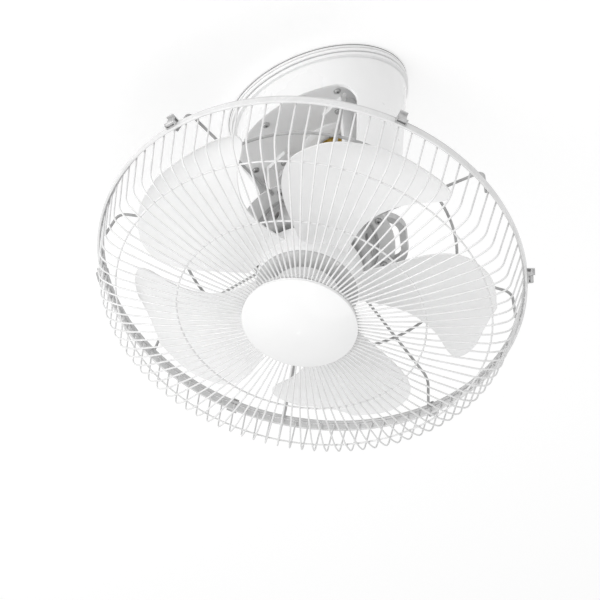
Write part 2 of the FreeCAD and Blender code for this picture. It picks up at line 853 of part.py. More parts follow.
def rear_guard_hub():
    body = ring(rear_hub_out_r, rear_hub_in_r, rear_hub_low, rear_hub_low + rear_hub_t)
    for hole in ear_screw_array(cylinder(screw_r + seat_gap, rear_hub_low - overrun, ear_low + overrun)):
        body = body.cut(hole)
    return body


def guard_screws():
    one = screw(rear_hub_t + ear_h / 2)
    one.translate(Vector(0, 0, rear_hub_low))
    return Part.makeCompound(ear_screw_array(one))


def rear_guard_spokes():
    start_r = rim_r - rim_band_t / 2 - 2 * rear_rim_wire_r - rear_wire_r
    points = [(start_r, rim_band_h / 4), (rear_corner_r, rear_corner_back), (rear_hub_r, rear_hub_back)]
    one = wire_rod(rounded_path(points, [rear_bend_r]), rear_wire_r)
    return Part.makeCompound(array(one, rear_spoke_count, rear_spoke_angle))


def rear_guard_ring():
    slope = (rear_hub_back - rear_corner_back) / (rear_corner_r - rear_hub_r)
    height = rear_corner_back + slope * (rear_corner_r - rear_ring_r)
    offset = (2 * rear_wire_r + run_gap) * math.sqrt(1 + slope ** 2)
    return Part.makeTorus(rear_ring_r, rear_wire_r, Vector(0, 0, height + offset), Z_AXIS)


rear_rim_back = rim_band_h / 2 + rear_rim_wire_r + run_gap


def rear_guard_rim():
    ring_r = rim_r - rim_band_t / 2 - rear_rim_wire_r + run_gap
    return Part.makeTorus(ring_r, rear_rim_wire_r, Vector(0, 0, rear_rim_back), Z_AXIS)


def front_rim_band():
    band = ring(rim_r, rim_r - rim_band_t, -rim_band_h / 2, rim_band_h / 2)
    return band.makeFillet(rim_band_t / 4, [e for e in band.Edges if e.Length > rim_r])


def front_wire_points():
    end_r = rim_r - rim_band_t - front_wire_r - run_gap
    return [(front_inner_r, -front_face), (front_ring_in_r, -front_face),
            (front_ring_out_r, -front_ring_out_depth), (front_corner_r, -front_corner_depth),
            (end_r, rim_band_h / 2 - rim_band_t / 2)]


def front_guard_wires():
    path = rounded_path(front_wire_points(), [front_bend_in_r, front_bend_out_r, front_bend_corner_r])
    return Part.makeCompound(array(wire_rod(path, front_wire_r), front_wire_count))


def front_guard_rings():
    """Ring wires that lie against the backs of the radial wires, at their two shallow bends."""
    points = [Vector(r, 0, z) for r, z in front_wire_points()]
    shapes = []
    for index, radius in ((1, front_bend_in_r), (2, front_bend_out_r)):
        back = (points[index - 1] - points[index]).normalize()
        ahead = (points[index + 1] - points[index]).normalize()
        half = back.getAngle(ahead) / 2
        inward = (back + ahead).normalize()
        centre = points[index] + inward * (radius / math.sin(half) - radius + 2 * front_wire_r + run_gap)
        shapes.append(Part.makeTorus(centre.x, front_wire_r, Vector(0, 0, centre.z), Z_AXIS))
    return Part.makeCompound(shapes)


wire_clear = front_wire_r + run_gap


def badge():
    back = -front_face - wire_clear
    edge = back - badge_edge_h
    front = edge - badge_crown
    ball_r = (badge_r ** 2 + badge_crown ** 2) / (2 * badge_crown)
    centre = Vector(0, 0, front + ball_r)
    inner = cylinder(badge_r - badge_wall, front, back + overrun)
    inner = inner.common(Part.makeSphere(ball_r - badge_wall, centre))
    shell = cylinder(badge_r, front, back).cut(inner)
    shell = shell.fuse(array(cylinder(badge_post_r, front, back, badge_post_at), badge_post_count))
    shell = shell.common(Part.makeSphere(ball_r, centre))
    tapped = cylinder(screw_r + seat_gap, edge + badge_wall, back + overrun, badge_post_at)
    for hole in array(tapped, badge_post_count):
        shell = shell.cut(hole)
    return shell.removeSplitter()


plate_low = -front_face + wire_clear


def badge_plate():
    plate = cylinder(badge_plate_r, plate_low, plate_low + badge_plate_t)
    post = cylinder(badge_post_r, plate_low - 2 * wire_clear, plate_low, badge_post_at)
    plate = plate.fuse(array(post, badge_post_count))
    tapped = cylinder(screw_r + seat_gap, plate_low - badge_edge_h, overrun, badge_post_at)
    for hole in array(tapped, badge_post_count):
        plate = plate.cut(hole)
    return plate.removeSplitter()


def badge_screws():
    one = screw(badge_plate_t + 2 * wire_clear + badge_edge_h / 4)
    one.rotate(ORIGIN, X_AXIS, 180)
    one.translate(Vector(badge_post_at, 0, plate_low + badge_plate_t))
    return Part.makeCompound(array(one, badge_post_count))


def motor_shaft():
    return cylinder(shaft_r, -hub_front - shaft_in_spinner, bearing_rear_high)


def rotor_core():
    body = ring(stator_bore_r - air_gap, shaft_r + seat_gap, stator_low, stator_high)
    for low in (stator_low - winding_h / 2, stator_high):
        body = body.fuse(ring(rotor_ring_out_r, rotor_ring_in_r, low, low + winding_h / 2))
    return body.removeSplitter()


# Blade sections, root to tip: distance out, trailing and leading side as shares of the tip radius, pitch
blade_shares = ((blade_root_share, -0.215, 0.070, 16.0),
                (0.360, -0.345, 0.030, 14.0), (0.480, -0.470, 0.010, 12.5), (0.600, -0.545, 0.025, 11.0),
                (0.720, -0.555, 0.085, 10.0), (0.820, -0.505, 0.182, 9.2), (0.900, -0.425, 0.255, 8.6),
                (0.955, -0.320, 0.225, 8.2), (0.990, -0.235, 0.090, 7.9))


def blade_section(out_share, trail_share, lead_share, pitch):
    """One closed blade section: a shallow arched strip of even thickness."""
    x = out_share * blade_tip_r
    y_trail, y_lead = trail_share * blade_tip_r, lead_share * blade_tip_r
    slope = math.tan(math.radians(pitch))
    arch = (y_lead - y_trail) * blade_camber_share
    y_mid = (y_trail + y_lead) / 2
    corners = []
    for lift in (0, blade_t):
        corners.append([Vector(x, y_trail, slope * y_trail - blade_forward + lift),
                        Vector(x, y_mid, slope * y_mid - blade_forward + arch + lift),
                        Vector(x, y_lead, slope * y_lead - blade_forward + lift)])
    front, back = corners
    edges = [Part.Arc(*front).toShape(), Part.LineSegment(front[2], back[2]).toShape(),
             Part.Arc(back[2], back[1], back[0]).toShape(), Part.LineSegment(back[0], front[0]).toShape()]
    return Part.Wire(edges)


def fan_blades():
    """Hub and blades, moulded as one piece."""
    blade = Part.makeLoft([blade_section(*row) for row in blade_shares], True, False)
    hub = cylinder(hub_r, -hub_front, hub_back)
    front_edge = [e for e in hub.Edges if abs(e.BoundBox.ZMax + hub_front) < seat_gap]
    hub = hub.makeFillet(hub_edge_r, front_edge)
    hollow = cylinder(hub_r - hub_wall, -hub_front + hub_wall, hub_back + overrun)
    front_edge = [e for e in hollow.Edges if abs(e.BoundBox.ZMax + hub_front - hub_wall) < seat_gap]
    hollow = hollow.makeFillet(hub_edge_r - hub_wall, front_edge)
    body = hub.fuse(array(blade, blade_count, blade_first_angle)).cut(hollow)
    body = body.fuse(cylinder(hub_boss_r, -hub_front + hub_wall / 2, hub_back - hub_wall))
    rib = box((hub_boss_r / 2, -hub_wall / 2, -hub_front + hub_wall / 2),
              (hub_r - hub_wall / 2, hub_wall / 2, -hub_front / 3))
    body = body.fuse(array(rib, blade_count))
    return body.cut(cylinder(shaft_r + seat_gap, -hub_front - overrun, hub_back + overrun)).removeSplitter()


def spinner_nut():
    body = cylinder(spinner_r, -hub_front - spinner_h, -hub_front - seat_gap)
    front_edge = [e for e in body.Edges if abs(e.BoundBox.ZMax + hub_front + spinner_h) < seat_gap]
    body = body.makeFillet(spinner_h / 3, front_edge)
    grip_at = spinner_r + spinner_grip_r / 2
    grip = cylinder(spinner_grip_r, -hub_front - spinner_h - overrun, -hub_front - spinner_h / 4, grip_at)
    for cut in array(grip, spinner_grip_count):
        body = body.cut(cut)
    return body.cut(cylinder(shaft_r + seat_gap, -hub_front - spinner_bore_h, -hub_front + overrun))


clip_pin_x = rim_r + clip_base_t + clip_eye_r + move_gap
clip_top = rear_rim_back + rear_rim_wire_r + move_gap


def clip_brackets():
    """Pin brackets fixed to the outside of the rim band, one for each clip."""
    reach = clip_w / 2 + move_gap
    side_y = reach + clip_ear_t
    base = box((rim_r - run_gap, -side_y, -clip_base_h / 2), (rim_r + clip_base_t, side_y, clip_base_h / 2))
    base = base.cut(cylinder(rim_r + seat_gap, -rim_band_h, rim_band_h))
    for side in (-1, 1):
        y_low, y_high = sorted((side * reach, side * side_y))
        ear = box((rim_r + clip_base_t / 2, y_low, -clip_eye_r), (clip_pin_x, y_high, clip_eye_r))
        ear = ear.fuse(Part.makeCylinder(clip_eye_r, clip_ear_t, Vector(clip_pin_x, y_low, 0), Y_AXIS))
        base = base.fuse(ear)
    pin = Part.makeCylinder(clip_pin_r, 2 * side_y, Vector(clip_pin_x, -side_y, 0), Y_AXIS)
    return Part.makeCompound(array(base.fuse(pin).removeSplitter(), clip_count, clip_first_angle))


def rim_clip(index):
    """A lever that turns on its pin and hooks over the rear guard's rim."""
    half = clip_w / 2
    eye = Part.makeCylinder(clip_eye_r, clip_w, Vector(clip_pin_x, -half, 0), Y_AXIS)
    high = clip_top + clip_bar_t
    bar = box((clip_pin_x - clip_bar_t / 2, -half, 0), (clip_pin_x + clip_bar_t / 2, half, high))
    hook = box((clip_pin_x - clip_eye_r - clip_hook_l, -half, clip_top),
               (clip_pin_x + clip_tab_l, half, high))
    hole = Part.makeCylinder(clip_pin_r + run_gap, 2 * clip_w, Vector(clip_pin_x, -clip_w, 0), Y_AXIS)
    body = eye.fuse([bar, hook]).removeSplitter().cut(hole)
    return turned(body, clip_first_angle + index * 360.0 / clip_count)


fixed_pieces = {
    "ceiling_plate": ceiling_plate, "ceiling_flange": ceiling_flange, "spindle": spindle,
    "spindle_screws": spindle_screws, "sun_gear": sun_gear, "slip_ring_core": slip_ring_core,
    "slip_rings": slip_rings, "spindle_nut": spindle_nut, "thrust_washer": thrust_washer,
    "terminal_block": terminal_block, "hood": hood, "bearing_web": bearing_web, "web_screws": web_screws,
    "bearing_cup": bearing_cup, "spindle_bush": spindle_bush, "swing_motor": swing_motor,
    "swing_motor_screws": swing_motor_screws, "drive_pinion": drive_pinion, "brush_block": brush_block,
    "brushes": brushes, "run_capacitor": run_capacitor, "yoke_screws": yoke_screws,
}
head_pieces = {
    "motor_front_housing": motor_front_housing, "motor_rear_housing": motor_rear_housing,
    "stator_core": stator_core, "stator_windings": stator_windings, "motor_screws": motor_screws,
    "cable_gland": cable_gland, "pivot_bolts": pivot_bolts, "guard_carrier": guard_carrier,
    "rear_guard_hub": rear_guard_hub, "guard_screws": guard_screws,
    "rear_guard_spokes": rear_guard_spokes, "rear_guard_ring": rear_guard_ring,
    "rear_guard_rim": rear_guard_rim,
    "front_rim_band": front_rim_band, "front_guard_wires": front_guard_wires,
    "front_guard_rings": front_guard_rings, "badge": badge, "badge_plate": badge_plate,
    "badge_screws": badge_screws, "motor_shaft": motor_shaft, "rotor_core": rotor_core,
    "fan_blades": fan_blades, "spinner_nut": spinner_nut, "clip_brackets": clip_brackets,
}


def main():
    os.makedirs("parts", exist_ok=True)
    for name, make in fixed_pieces.items():
        make().exportStep("parts/" + name + ".step")
    yoke_arm(-1).exportStep("parts/yoke_arm_left.step")
    yoke_arm(1).exportStep("parts/yoke_arm_right.step")
    for name, make in head_pieces.items():
        place_head(make()).exportStep("parts/" + name + ".step")
    place_head(motor_bearing(bearing_front_low)).exportStep("parts/front_bearing.step")
    place_head(motor_bearing(bearing_rear_high - bearing_h)).exportStep("parts/rear_bearing.step")
    for index in range(clip_count):
        place_head(rim_clip(index)).exportStep("parts/rim_clip_" + str(index + 1) + ".step")


main()
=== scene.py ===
"""Looks for the caged orbit fan: finishes for every piece, small trim, ceiling, lamps and camera."""
import json
import math

import bmesh
import bpy
from mathutils import Matrix, Vector


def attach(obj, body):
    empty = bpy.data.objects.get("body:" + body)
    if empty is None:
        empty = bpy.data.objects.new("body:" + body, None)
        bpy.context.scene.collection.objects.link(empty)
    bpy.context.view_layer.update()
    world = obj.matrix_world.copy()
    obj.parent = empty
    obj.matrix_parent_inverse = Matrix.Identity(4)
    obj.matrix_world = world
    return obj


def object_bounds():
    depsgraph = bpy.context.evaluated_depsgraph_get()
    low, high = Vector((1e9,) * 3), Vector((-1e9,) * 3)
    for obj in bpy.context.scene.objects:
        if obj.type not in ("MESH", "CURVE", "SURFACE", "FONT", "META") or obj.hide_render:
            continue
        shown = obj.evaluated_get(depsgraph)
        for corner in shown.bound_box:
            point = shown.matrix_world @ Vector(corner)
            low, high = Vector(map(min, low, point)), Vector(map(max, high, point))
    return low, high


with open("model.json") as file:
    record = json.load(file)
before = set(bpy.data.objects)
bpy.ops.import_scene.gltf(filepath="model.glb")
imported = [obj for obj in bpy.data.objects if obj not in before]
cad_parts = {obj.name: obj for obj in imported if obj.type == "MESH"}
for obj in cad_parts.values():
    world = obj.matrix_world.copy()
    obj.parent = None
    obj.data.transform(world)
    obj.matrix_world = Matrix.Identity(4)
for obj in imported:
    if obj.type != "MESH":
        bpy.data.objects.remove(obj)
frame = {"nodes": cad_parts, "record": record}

cad_box = [list(corner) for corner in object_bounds()]
nodes = frame["nodes"]
UP, DOWN = Vector((0, 0, 1)), Vector((0, 0, -1))
SAME_POINT = 0.000001


# Shared effects
def start_group(name, inputs, outputs):
    group = bpy.data.node_groups.new(name, "ShaderNodeTree")
    for label, kind, value in inputs:
        socket = group.interface.new_socket(label, in_out="INPUT", socket_type=kind)
        socket.default_value = value
    for label, kind in outputs:
        group.interface.new_socket(label, in_out="OUTPUT", socket_type=kind)
    tree = group.nodes
    return group, tree, group.links, tree.new("NodeGroupInput"), tree.new("NodeGroupOutput")


def object_place(tree):
    return tree.new("ShaderNodeTexCoord").outputs["Object"]


def spread_noise(tree, links, vector, scale, detail, roughness=0.55):
    noise = tree.new("ShaderNodeTexNoise")
    noise.inputs["Detail"].default_value = detail
    noise.inputs["Roughness"].default_value = roughness
    links.new(vector, noise.inputs["Vector"])
    if isinstance(scale, (int, float)):
        noise.inputs["Scale"].default_value = scale
    else:
        links.new(scale, noise.inputs["Scale"])
    return noise.outputs["Fac"]


def ranged(tree, links, value, low, high, to_low=0.0, to_high=1.0):
    remap = tree.new("ShaderNodeMapRange")
    remap.inputs["From Min"].default_value = low
    remap.inputs["From Max"].default_value = high
    for label, bound in (("To Min", to_low), ("To Max", to_high)):
        if isinstance(bound, (int, float)):
            remap.inputs[label].default_value = bound
        else:
            links.new(bound, remap.inputs[label])
    links.new(value, remap.inputs["Value"])
    return remap.outputs["Result"]


def mixed(tree, links, factor, first, second):
    mix = tree.new("ShaderNodeMix")
    mix.data_type = "RGBA"
    links.new(factor, mix.inputs["Factor"])
    links.new(first, mix.inputs["A"])
    links.new(second, mix.inputs["B"])
    return mix.outputs["Result"]


def combined(tree, links, operation, first, second):
    """Two values through one maths node."""
    node = tree.new("ShaderNodeMath")
    node.operation = operation
    for socket, value in zip(node.inputs, (first, second)):
        if isinstance(value, (int, float)):
            socket.default_value = value
        else:
            links.new(value, socket)
    return node.outputs["Value"]


COLOUR, NUMBER = "NodeSocketColor", "NodeSocketFloat"
SURFACE = [("Colour", COLOUR), ("Roughness", NUMBER), ("Height", NUMBER)]


def coat_group():
    """Baked paint: faint cloudy tone, orange peel, a few dull patches."""
    group, tree, links, given, out = start_group(
        "baked_coat",
        [("Tone", COLOUR, (0.8, 0.8, 0.8, 1)), ("Shade", COLOUR, (0.7, 0.7, 0.7, 1)),
         ("Peel", NUMBER, 900.0), ("Cloud", NUMBER, 22.0),
         ("Gloss", NUMBER, 0.3), ("Dull", NUMBER, 0.45)], SURFACE)
    place = object_place(tree)
    cloud = spread_noise(tree, links, place, given.outputs["Cloud"], detail=4.0)
    peel = spread_noise(tree, links, place, given.outputs["Peel"], detail=2.0)
    tone = ranged(tree, links, cloud, 0.42, 0.72)
    links.new(mixed(tree, links, tone, given.outputs["Tone"], given.outputs["Shade"]),
              out.inputs["Colour"])
    links.new(ranged(tree, links, cloud, 0.35, 0.7, given.outputs["Gloss"], given.outputs["Dull"]),
              out.inputs["Roughness"])
    links.new(peel, out.inputs["Height"])
    return group


def cast_group():
    """Die-cast skin: flow marks, fine grain and shallow pits."""
    group, tree, links, given, out = start_group(
        "cast_skin",
        [("Tone", COLOUR, (0.5, 0.5, 0.5, 1)), ("Shade", COLOUR, (0.4, 0.4, 0.4, 1)),
         ("Grain", NUMBER, 700.0), ("Flow", NUMBER, 45.0),
         ("Gloss", NUMBER, 0.4), ("Dull", NUMBER, 0.6)], SURFACE)
    place = object_place(tree)
    flow = spread_noise(tree, links, place, given.outputs["Flow"], detail=6.0, roughness=0.65)
    grain = spread_noise(tree, links, place, given.outputs["Grain"], detail=3.0)
    pits = tree.new("ShaderNodeTexVoronoi")
    links.new(place, pits.inputs["Vector"])
    links.new(given.outputs["Grain"], pits.inputs["Scale"])
    pit = ranged(tree, links, pits.outputs["Distance"], 0.05, 0.35)
    tone = ranged(tree, links, flow, 0.36, 0.68)
    links.new(mixed(tree, links, tone, given.outputs["Tone"], given.outputs["Shade"]),
              out.inputs["Colour"])
    links.new(ranged(tree, links, flow, 0.3, 0.7, given.outputs["Gloss"], given.outputs["Dull"]),
              out.inputs["Roughness"])
    links.new(combined(tree, links, "MULTIPLY", grain, pit), out.inputs["Height"])
    return group


def turned_group():
    """Bright metal: fine drawn or turned lines across one direction, with handled patches."""
    group, tree, links, given, out = start_group(
        "drawn_lines",
        [("Tone", COLOUR, (0.7, 0.7, 0.7, 1)), ("Shade", COLOUR, (0.5, 0.5, 0.5, 1)),
         ("Lines", NUMBER, 60.0), ("Patch", NUMBER, 70.0),
         ("Gloss", NUMBER, 0.2), ("Dull", NUMBER, 0.45)], SURFACE)
    place = object_place(tree)
    stretch = tree.new("ShaderNodeMapping")
    stretch.inputs["Scale"].default_value = (1.0, 1.0, 30.0)
    links.new(place, stretch.inputs["Vector"])
    lines = spread_noise(tree, links, stretch.outputs["Vector"], given.outputs["Lines"], detail=3.0)
    patch = spread_noise(tree, links, place, given.outputs["Patch"], detail=5.0)
    tone = ranged(tree, links, patch, 0.4, 0.7)
    links.new(mixed(tree, links, tone, given.outputs["Tone"], given.outputs["Shade"]),
              out.inputs["Colour"])
    links.new(ranged(tree, links, lines, 0.3, 0.7, given.outputs["Gloss"], given.outputs["Dull"]),
              out.inputs["Roughness"])
    links.new(lines, out.inputs["Height"])
    return group


def dust_group():
    """Dust that has settled on faces that look upwards."""
    group, tree, links, given, out = start_group(
        "settled_dust",
        [("Colour", COLOUR, (0.8, 0.8, 0.8, 1)), ("Roughness", NUMBER, 0.4),
         ("Dust", COLOUR, (0.5, 0.48, 0.45, 1)), ("Amount", NUMBER, 0.3)],
        [("Colour", COLOUR), ("Roughness", NUMBER)])
    split = tree.new("ShaderNodeSeparateXYZ")
    links.new(tree.new("ShaderNodeNewGeometry").outputs["Normal"], split.inputs["Vector"])
    upward = ranged(tree, links, split.outputs["Z"], 0.25, 0.95)
    drift = spread_noise(tree, links, object_place(tree), 38.0, detail=6.0, roughness=0.6)
    drift = ranged(tree, links, drift, 0.35, 0.7)
    lying = combined(tree, links, "MULTIPLY", upward, drift)
    mask = combined(tree, links, "MULTIPLY", lying, given.outputs["Amount"])
    links.new(mixed(tree, links, mask, given.outputs["Colour"], given.outputs["Dust"]),
              out.inputs["Colour"])
    links.new(ranged(tree, links, mask, 0.0, 1.0, given.outputs["Roughness"], 0.9),
              out.inputs["Roughness"])
    return group


baked_coat, cast_skin, drawn_lines = coat_group(), cast_group(), turned_group()
settled_dust = dust_group()
COAT_ROUGHNESS, BUMP_STRENGTH = 0.12, 0.35


def colour(level):
    """A neutral grey from its screen value."""
    shade = level / 12.92 if level <= 0.04045 else ((level + 0.055) / 1.055) ** 2.4
    return (shade, shade, shade, 1.0)


def finish(name, effect, values, bump, metallic=0.0, coat=0.0, dust=0.0):
    """A material: one surface effect, dust over it, and the shader's own plain sockets."""
    material = bpy.data.materials.new(name)
    material.use_nodes = True
    tree, links = material.node_tree.nodes, material.node_tree.links
    shader = tree["Principled BSDF"]
    shader.inputs["Metallic"].default_value = metallic
    shader.inputs["Coat Weight"].default_value = coat
    shader.inputs["Coat Roughness"].default_value = COAT_ROUGHNESS
    surface = tree.new("ShaderNodeGroup")
    surface.node_tree = effect
    for label, value in values.items():
        surface.inputs[label].default_value = value
    tone, rough = surface.outputs["Colour"], surface.outputs["Roughness"]
    if dust:
        film = tree.new("ShaderNodeGroup")
        film.node_tree = settled_dust
        film.inputs["Amount"].default_value = dust
        links.new(tone, film.inputs["Colour"])
        links.new(rough, film.inputs["Roughness"])
        tone, rough = film.outputs["Colour"], film.outputs["Roughness"]
    links.new(tone, shader.inputs["Base Color"])
    links.new(rough, shader.inputs["Roughness"])
    relief = tree.new("ShaderNodeBump")
    relief.inputs["Strength"].default_value = BUMP_STRENGTH
    relief.inputs["Distance"].default_value = bump
    links.new(surface.outputs["Height"], relief.inputs["Height"])
    links.new(relief.outputs["Normal"], shader.inputs["Normal"])
    return material


def coated(name, tone, shade, peel, cloud, gloss, dull, bump, **more):
    values = {"Tone": colour(tone), "Shade": colour(shade), "Peel": peel, "Cloud": cloud,
              "Gloss": gloss, "Dull": dull}
    return finish(name, baked_coat, values, bump, **more)


def cast(name, tone, shade, grain, flow, gloss, dull, bump, **more):
    values = {"Tone": tone, "Shade": shade, "Grain": grain, "Flow": flow,
              "Gloss": gloss, "Dull": dull}
    return finish(name, cast_skin, values, bump, **more)


def drawn(name, tone, shade, lines, patch, gloss, dull, bump, metallic):
    values = {"Tone": tone, "Shade": shade, "Lines": lines, "Patch": patch,
              "Gloss": gloss, "Dull": dull}
    return finish(name, drawn_lines, values, bump, metallic=metallic)


# Finishes, one for each material slot
finishes = {
    "white_enamel": coated("guard_enamel", 0.89, 0.85, peel=700.0, cloud=60.0,
                           gloss=0.22, dull=0.38, bump=0.00012, coat=0.3, dust=0.10),
    "hood_white": coated("hood_paint", 0.97, 0.955, peel=520.0, cloud=14.0,
                         gloss=0.26, dull=0.36, bump=0.00010, coat=0.2, dust=0.10),
    "blade_white": coated("blade_plastic", 0.955, 0.94, peel=1500.0, cloud=18.0,
                          gloss=0.32, dull=0.42, bump=0.00006, dust=0.08),
    "badge_white": coated("badge_plastic", 0.935, 0.925, peel=260.0, cloud=20.0,
                          gloss=0.10, dull=0.16, bump=0.00002, coat=0.4),
    "web_grey": coated("web_paint", 0.95, 0.93, peel=600.0, cloud=26.0,
                       gloss=0.36, dull=0.5, bump=0.00012, dust=0.10),
    "cast_grey": cast("motor_casting", colour(0.82), colour(0.73), grain=650.0, flow=40.0,
                      gloss=0.36, dull=0.55, bump=0.00030, metallic=0.15, dust=0.15),
    # Rear guard darker grey than the front guard: partly painted shade behind the fan head
    "rear_wire_grey": coated("rear_guard_paint", 0.70, 0.63, peel=900.0, cloud=50.0,
                             gloss=0.3, dull=0.45, bump=0.00010, coat=0.2, dust=0.12),
    "steel": drawn("zinc_plated_steel", colour(0.76), colour(0.66), lines=55.0, patch=90.0,
                   gloss=0.22, dull=0.42, bump=0.00005, metallic=1.0),
    "clip_steel": drawn("clip_spring_steel", colour(0.80), colour(0.72), lines=80.0, patch=120.0,
                        gloss=0.28, dull=0.45, bump=0.00005, metallic=0.6),
    "brass": drawn("turned_brass", (0.62, 0.40, 0.09, 1), (0.40, 0.25, 0.06, 1), lines=70.0,
                   patch=110.0, gloss=0.2, dull=0.4, bump=0.00005, metallic=1.0),
    "copper": drawn("copper_winding", (0.55, 0.20, 0.08, 1), (0.36, 0.12, 0.05, 1), lines=90.0,
                    patch=80.0, gloss=0.25, dull=0.4, bump=0.00012, metallic=0.9),
    "iron": drawn("core_laminations", colour(0.42), colour(0.33), lines=60.0, patch=60.0,
                  gloss=0.45, dull=0.65, bump=0.00012, metallic=0.7),
    "gear_nylon": cast("gear_nylon", (0.72, 0.68, 0.58, 1), (0.62, 0.58, 0.49, 1), grain=900.0,
                       flow=50.0, gloss=0.38, dull=0.5, bump=0.00008),
    "black_plastic": cast("black_moulding", colour(0.17), colour(0.13), grain=1100.0, flow=60.0,
                          gloss=0.42, dull=0.6, bump=0.00010, dust=0.12),
    "rubber": cast("gland_rubber", colour(0.16), colour(0.12), grain=800.0, flow=45.0,
                   gloss=0.6, dull=0.8, bump=0.00012, dust=0.15),
}
# Rear rim wire grey: partly painted shade along the back of the guard
rim_wire_paint = coated("rear_rim_paint", 0.82, 0.77, peel=900.0, cloud=50.0,
                        gloss=0.3, dull=0.45, bump=0.00010, coat=0.2, dust=0.12)
# Grey for the band over the fan hub's edge: painted shade on the hub's rounded side
hub_shade_paint = coated("hub_shade_paint", 0.79, 0.74, peel=800.0, cloud=40.0,
                        gloss=0.3, dull=0.42, bump=0.00008)
# Near black for the screw recess inlays: painted shade inside the recesses
recess_shade_paint = cast("screw_recess", colour(0.22), colour(0.16), grain=900.0, flow=80.0,
                   gloss=0.5, dull=0.7, bump=0.00005)
# Grey for the ring at the flange's edge: painted contact shadow where the flange meets the ceiling
painted_flange_shadow = cast("flange_contact_shadow_paint", colour(0.60), colour(0.54), grain=800.0, flow=60.0,
                     gloss=0.55, dull=0.75, bump=0.00008, dust=0.1)

# The rear guard's rim wire is lighter than the rest of its slot
own_paint = {"rear_guard_rim": rim_wire_paint}
for row in frame["record"]["subparts"]:
    mesh = nodes[row["node"]].data
    mesh.materials.clear()
    mesh.materials.append(own_paint.get(row["node"], finishes[row["material_slot"]]))

# The head's own frame: rim plane at height zero, facing down
HEAD_TILT = math.radians(32.0)
HEAD_PIVOT, RIM_BELOW_PIVOT = (0, -0.066, -0.174), 0.080
head_place = (Matrix.Translation(HEAD_PIVOT) @ Matrix.Rotation(-HEAD_TILT, 4, "X")
              @ Matrix.Translation((0, 0, -RIM_BELOW_PIVOT)))
head_axis = head_place.to_3x3() @ UP


def keep_piece(name, shape, body, material, place=None):
    """Close a modelled shape into a piece that rides on a body and takes its finish."""
    if place is not None:
        bmesh.ops.transform(shape, matrix=place, verts=shape.verts[:])
    bmesh.ops.recalc_face_normals(shape, faces=shape.faces[:])
    data = bpy.data.meshes.new(name)
    shape.to_mesh(data)
    shape.free()
    for face in data.polygons:
        face.use_smooth = True
    data.materials.append(material)
    piece = bpy.data.objects.new(name, data)
    bpy.context.scene.collection.objects.link(piece)
    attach(piece, body)


def turned_ring(loop, steps):
    """A closed loop of radius and height pairs, turned about the vertical axis."""
    shape = bmesh.new()
    rows = []
    for step in range(steps):
        turn = math.tau * step / steps
        rows.append([shape.verts.new((radius * math.cos(turn), radius * math.sin(turn), height))
                     for radius, height in loop])
    for row, following in zip(rows, rows[1:] + rows[:1]):
        for near in range(len(loop)):
            far = (near + 1) % len(loop)
            shape.faces.new((row[near], row[far], following[far], following[near]))
    return shape


def thickened(line, thickness):
    """A line closed into a loop by its copy at an even distance, with mitred corners."""
    sides = [Vector((b[1] - a[1], a[0] - b[0])).normalized() for a, b in zip(line, line[1:])]
    loop = list(line)
    for index in reversed(range(len(line))):
        beside = sides[max(index - 1, 0):index + 1]
        mitre = sum(beside, Vector((0, 0))) / len(beside)
        loop.append(Vector(line[index]) + mitre * thickness / mitre.length_squared)
    return loop


# Spot welds where the guard wires cross: radius, height and bead size of each ring of welds
FRONT_WIRES, REAR_SPOKES, REAR_FIRST = 96, 8, math.radians(15.0)
FRONT_WELDS = ((0.12285, -0.06323, (0.0016, 0.0013, 0.0013)),
               (0.18553, -0.05451, (0.0016, 0.0013, 0.0013)),
               (0.21320, 0.00170, (0.0010, 0.0014, 0.0018)))
REAR_WELDS = ((0.14299, 0.04670, (0.0026, 0.0020, 0.0019)),
              (0.21080, 0.00580, (0.0018, 0.0022, 0.0026)))


def weld_beads(name, rings, count, first, slot):
    """Squashed beads of weld metal, evenly spaced round each ring."""
    shape = bmesh.new()
    for radius, height, size in rings:
        for index in range(count):
            spin = Matrix.Rotation(first + math.tau * index / count, 4, "Z")
            bead = bmesh.ops.create_icosphere(shape, subdivisions=1, radius=1.0)["verts"]
            bmesh.ops.scale(shape, vec=size, verts=bead)
            bmesh.ops.transform(shape, matrix=spin @ Matrix.Translation((radius, 0, height)),
                                verts=bead)
    keep_piece(name, shape, "head", finishes[slot], head_place)


weld_beads("front_guard_welds", FRONT_WELDS, FRONT_WIRES, 0.0, "white_enamel")
weld_beads("rear_guard_welds", REAR_WELDS, REAR_SPOKES, REAR_FIRST, "rear_wire_grey")

# Grey band over the fan hub's front edge: painted shade where the hub's rounded side falls in shadow
HUB_R, HUB_FRONT, HUB_EDGE = 0.052, -0.023, 0.009
BAND_IN_R, BAND_T, BAND_STEPS = 0.034, 0.0004, 120
BAND_TURNS = [math.radians(degrees) for degrees in (0, 15, 30, 45, 60)]
band_line = [(BAND_IN_R, HUB_FRONT)]
band_line += [(HUB_R - HUB_EDGE + HUB_EDGE * math.sin(turn),
               HUB_FRONT + HUB_EDGE * (1 - math.cos(turn))) for turn in BAND_TURNS]
band = turned_ring(thickened(band_line, BAND_T), BAND_STEPS)
keep_piece("hub_shade_band", band, "fan", hub_shade_paint, head_place)

# Grey ring along the flange's edge at the ceiling: painted contact shadow
SHADOW_RING_R, SHADOW_RING_Z, SHADOW_RING_WIRE_R, SHADOW_RING_SIDES, SHADOW_RING_STEPS = 0.1022, -0.0008, 0.0007, 10, 160
shadow_ring_turns = [math.tau * side / SHADOW_RING_SIDES for side in range(SHADOW_RING_SIDES)]
shadow_ring_loop = [(SHADOW_RING_R - SHADOW_RING_WIRE_R * math.sin(turn), SHADOW_RING_Z + SHADOW_RING_WIRE_R * math.cos(turn))
               for turn in shadow_ring_turns]
shadow_ring = turned_ring(shadow_ring_loop, SHADOW_RING_STEPS)
keep_piece("flange_shadow_ring", shadow_ring, "ceiling", painted_flange_shadow)

